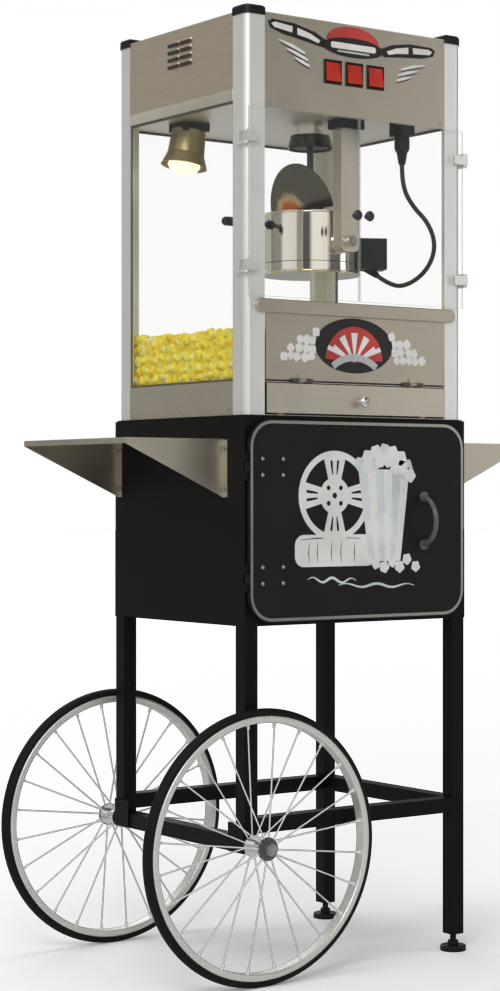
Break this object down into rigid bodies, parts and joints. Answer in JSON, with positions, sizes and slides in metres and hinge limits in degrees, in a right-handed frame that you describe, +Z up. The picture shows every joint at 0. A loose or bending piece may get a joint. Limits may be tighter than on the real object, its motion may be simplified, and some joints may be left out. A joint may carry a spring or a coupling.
{
  "type": "popcorn cart",
  "caption": "Popcorn machine with a tilting kettle in a glass case, on a wheeled cabinet cart with side shelves and a hinged door.",
  "frame": {"origin": "on the floor, under the middle of the machine's bounding box", "axes": "+Z up, -Y is the front with the switches and the doors, -X is the wheel side"},
  "size_m": [0.8825, 0.5288, 1.622],
  "materials": {
    "black_paint": "gloss powder coat",
    "stainless": "brushed",
    "shelf_steel": "brushed",
    "polished_steel": "polished",
    "post_aluminium": "satin anodised",
    "rim_metal": "bright plated",
    "spoke_metal": "bright plated",
    "zinc": "zinc plated",
    "chrome": "polished",
    "tyre": "solid rubber",
    "black_plastic": "moulded",
    "red_switch": "gloss",
    "glass": "clear",
    "cord_rubber": "smooth",
    "pan_metal": "heat tinted",
    "lamp_metal": "gold lacquer",
    "lamp_glass": "frosted, lit",
    "motor_grey": "enamel"
  },
  "bodies": {
    "root": {"cart_legs": "black_paint", "lower_rails": "black_paint", "axle_beam": "black_paint", "axle": "zinc", "leveling_feet": "black_plastic", "cart_panels": "black_paint", "cart_front_frame": "black_paint", "cart_hinges": "black_paint", "shelf_left": "shelf_steel", "shelf_right": "shelf_steel", "shelf_bolts": "zinc", "corner_posts": "post_aluminium", "post_caps": "black_plastic", "base_housing": "stainless", "chamber_floor": "stainless", "glass_panels": "glass", "head_front_panel": "stainless", "head_panels": "stainless", "switch_bezels": "black_plastic", "flap_hinges": "stainless", "door_hinge_brackets": "chrome", "kettle_cord": "cord_rubber", "kettle_plug": "black_plastic", "ceiling_fittings": "black_plastic", "gear_motor": "motor_grey", "shaft_bell": "shelf_steel", "kettle_hanger": "stainless", "lamp_shade": "lamp_metal", "lamp_bulb": "lamp_glass", "mains_inlet": "black_plastic"},
    "wheel_front": {"tyre_front": "tyre", "rim_front": "rim_metal", "spokes_front": "spoke_metal", "hub_front": "zinc"},
    "wheel_rear": {"tyre_rear": "tyre", "rim_rear": "rim_metal", "spokes_rear": "spoke_metal", "hub_rear": "zinc"},
    "cart_door": {"cart_door": "black_paint", "cart_door_pull": "black_plastic"},
    "drawer": {"kernel_drawer": "stainless", "drawer_knob": "chrome"},
    "serving_flap": {"serving_flap": "stainless"},
    "door_left": {"door_left_glass": "glass", "door_left_fittings": "chrome"},
    "door_right": {"door_right_glass": "glass", "door_right_fittings": "chrome"},
    "switch_left": {"switch_left": "red_switch"},
    "switch_middle": {"switch_middle": "red_switch"},
    "switch_right": {"switch_right": "red_switch"},
    "kettle": {"kettle_shell": "polished_steel", "kettle_pan": "pan_metal", "heater_plate": "motor_grey", "lid_bridge": "polished_steel", "dump_handle": "black_plastic", "kettle_connector": "black_plastic"},
    "lid_left": {"lid_flap_left": "polished_steel"},
    "lid_right": {"lid_flap_right": "polished_steel"},
    "agitator": {"agitator": "polished_steel"},
    "drive": {"drive_shaft": "polished_steel"}
  },
  "joints": [
    {"name": "wheel_front_spin", "type": "hinge", "parent": "root", "child": "wheel_front", "pos_m": [-0.2128, -0.23, 0.2285], "axis": [0, 1, 0], "continuous": true},
    {"name": "wheel_rear_spin", "type": "hinge", "parent": "root", "child": "wheel_rear", "pos_m": [-0.2128, 0.23, 0.2285], "axis": [0, 1, 0], "continuous": true},
    {"name": "cart_door_swing", "type": "hinge", "parent": "root", "child": "cart_door", "pos_m": [-0.2262, -0.208, 0.763], "axis": [0, 0, -1], "range_deg": [0, 110]},
    {"name": "drawer_slide", "type": "slide", "parent": "root", "child": "drawer", "axis": [0, -1, 0], "range_m": [0, 0.15]},
    {"name": "serving_flap_drop", "type": "hinge", "parent": "root", "child": "serving_flap", "pos_m": [0.0113, -0.2024, 1.001], "axis": [1, 0, 0], "range_deg": [0, 80]},
    {"name": "door_left_swing", "type": "hinge", "parent": "root", "child": "door_left", "pos_m": [-0.2257, -0.2045, 1.295], "axis": [0, 0, -1], "range_deg": [0, 110]},
    {"name": "door_right_swing", "type": "hinge", "parent": "root", "child": "door_right", "pos_m": [0.2483, -0.2045, 1.295], "axis": [0, 0, 1], "range_deg": [0, 110]},
    {"name": "switch_left_rock", "type": "hinge", "parent": "root", "child": "switch_left", "pos_m": [-0.0417, -0.196, 1.527], "axis": [1, 0, 0], "range_deg": [0, 14]},
    {"name": "switch_middle_rock", "type": "hinge", "parent": "root", "child": "switch_middle", "pos_m": [0.0043, -0.196, 1.527], "axis": [1, 0, 0], "range_deg": [0, 14]},
    {"name": "switch_right_rock", "type": "hinge", "parent": "root", "child": "switch_right", "pos_m": [0.0503, -0.196, 1.527], "axis": [1, 0, 0], "range_deg": [0, 14]},
    {"name": "kettle_tilt", "type": "hinge", "parent": "root", "child": "kettle", "pos_m": [0.0513, -0.116, 1.252], "axis": [0, -1, 0], "range_deg": [0, 95]},
    {"name": "lid_left_swing", "type": "hinge", "parent": "kettle", "child": "lid_left", "pos_m": [0.0368, -0.01, 1.3116], "axis": [0, 1, 0], "range_deg": [-74, 0]},
    {"name": "lid_right_swing", "type": "hinge", "parent": "kettle", "child": "lid_right", "pos_m": [0.0658, -0.01, 1.3116], "axis": [0, -1, 0], "range_deg": [0, 74]},
    {"name": "drive_spin", "type": "hinge", "parent": "root", "child": "drive", "pos_m": [0.0513, -0.01, 1.4], "axis": [0, 0, 1], "continuous": true},
    {"name": "agitator_spin", "type": "hinge", "parent": "kettle", "child": "agitator", "pos_m": [0.0513, -0.01, 1.3], "axis": [0, 0, 1], "continuous": true}
  ],
  "couplings": [
    {"joint": "drive_spin", "follows": "agitator_spin", "ratio": 1}
  ]
}
